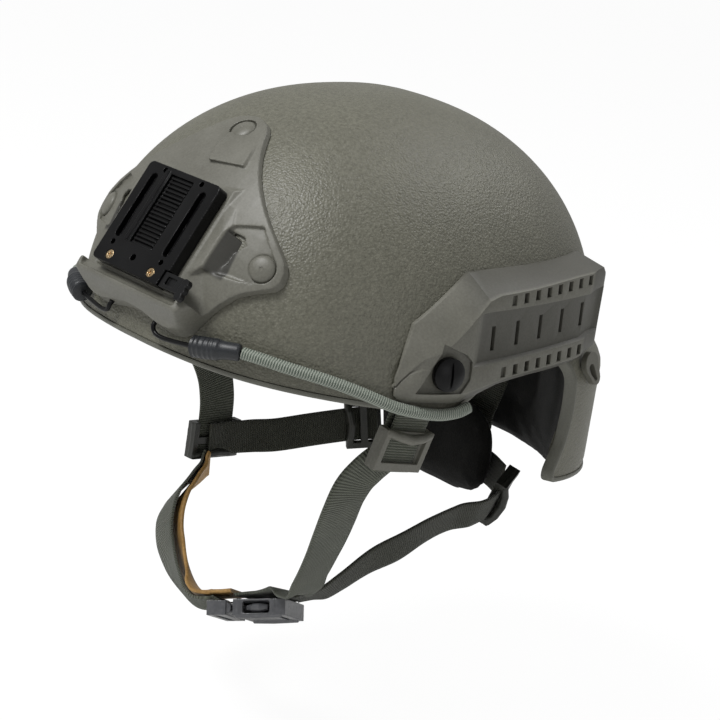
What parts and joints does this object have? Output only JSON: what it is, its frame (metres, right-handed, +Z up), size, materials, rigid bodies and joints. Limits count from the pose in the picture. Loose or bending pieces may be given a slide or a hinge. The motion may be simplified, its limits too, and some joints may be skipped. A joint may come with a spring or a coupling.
{
  "type": "combat helmet",
  "caption": "High-cut protective helmet with front mounting shroud, side accessory rails, bungee cords, foam liner pads and a chin harness with side-release buckle.",
  "frame": {"origin": "centre of the head opening at brow height, inside the shell", "axes": "+Z up, the face looks along -Y, +X is the wearer's left"},
  "size_m": [0.2522, 0.2955, 0.3022],
  "materials": {
    "shell_paint": "fine textured coating, low sheen",
    "trim_polymer": "smooth, satin",
    "shroud_polymer": "moulded, satin",
    "black_metal": "black coated, satin",
    "brass": "worn plating",
    "black_polymer": "satin",
    "dark_steel": "blackened",
    "grip_rubber": "semi gloss",
    "elastic_cord": "braided",
    "pad_fabric": "brushed loop cloth",
    "webbing": "woven",
    "dark_polymer": "satin",
    "leather": "tan, smooth",
    "buckle_polymer": "gloss"
  },
  "bodies": {
    "helmet": {"shell": "shell_paint", "edge_trim": "trim_polymer", "shroud_frame": "shroud_polymer", "shroud_screws": "shroud_polymer", "mounting_plate": "black_metal", "plate_screws": "brass", "rail_left": "shroud_polymer", "rail_right": "shroud_polymer", "rail_front_bolts": "black_metal", "rail_rear_screws": "black_metal", "strap_tabs": "dark_steel", "strap_nuts": "dark_steel", "goggle_hook_left": "shroud_polymer", "goggle_hook_right": "shroud_polymer", "bungee_hook_left": "dark_steel", "bungee_hook_right": "dark_steel", "bungee_grip_left": "grip_rubber", "bungee_grip_right": "grip_rubber", "bungee_cord_left": "elastic_cord", "bungee_cord_right": "elastic_cord", "pad_front": "pad_fabric", "pad_crown": "pad_fabric", "pad_rear": "pad_fabric", "pad_side_left": "pad_fabric", "pad_side_right": "pad_fabric", "nape_pad": "pad_fabric", "nape_webbing": "webbing", "rear_strap_left": "webbing", "rear_strap_right": "webbing", "rear_slider_left": "dark_polymer", "rear_slider_right": "dark_polymer"},
    "latch": {"side_latch": "black_polymer"},
    "harness": {"front_strap_left": "webbing", "front_strap_right": "webbing", "front_slider_right": "dark_polymer", "chin_strap_right": "webbing", "chin_lining": "leather", "buckle_socket": "buckle_polymer"},
    "ladder": {"front_slider_left": "shroud_polymer"},
    "plug": {"buckle_plug": "buckle_polymer"},
    "prong_front": {"buckle_prong_front": "buckle_polymer"},
    "prong_rear": {"buckle_prong_rear": "buckle_polymer"}
  },
  "joints": [
    {"name": "latch_slide", "type": "slide", "parent": "helmet", "child": "latch", "axis": [1, 0, 0], "range_m": [0, 0.003], "stiffness_N_per_m": 120},
    {"name": "chin_harness_swing", "type": "hinge", "parent": "helmet", "child": "harness", "pos_m": [0, -0.034, 0.001], "axis": [1, 0, 0], "range_deg": [-6, 14], "deforming": ["rear_strap_left", "rear_strap_right"]},
    {"name": "ladder_slide", "type": "slide", "parent": "harness", "child": "ladder", "axis": [-0.134, -0.192, -0.9722], "range_m": [-0.005, 0.005]},
    {"name": "buckle_release", "type": "slide", "parent": "harness", "child": "plug", "axis": [-0.8192, -0.5119, -0.2588], "range_m": [0, 0.028], "deforming": ["chin_strap_right", "chin_lining"]},
    {"name": "prong_rear_squeeze", "type": "hinge", "parent": "plug", "child": "prong_rear", "pos_m": [0.00134, -0.03842, -0.16554], "axis": [0.4361, -0.2628, -0.8606], "range_deg": [0, 8], "stiffness_Nm_per_rad": 0.06},
    {"name": "prong_front_squeeze", "type": "hinge", "parent": "plug", "child": "prong_front", "pos_m": [0.00864, -0.05445, -0.15695], "axis": [-0.4361, 0.2628, 0.8606], "range_deg": [0, 8], "stiffness_Nm_per_rad": 0.06}
  ],
  "couplings": [
    {"joint": "prong_front_squeeze", "follows": "prong_rear_squeeze", "ratio": 1}
  ]
}
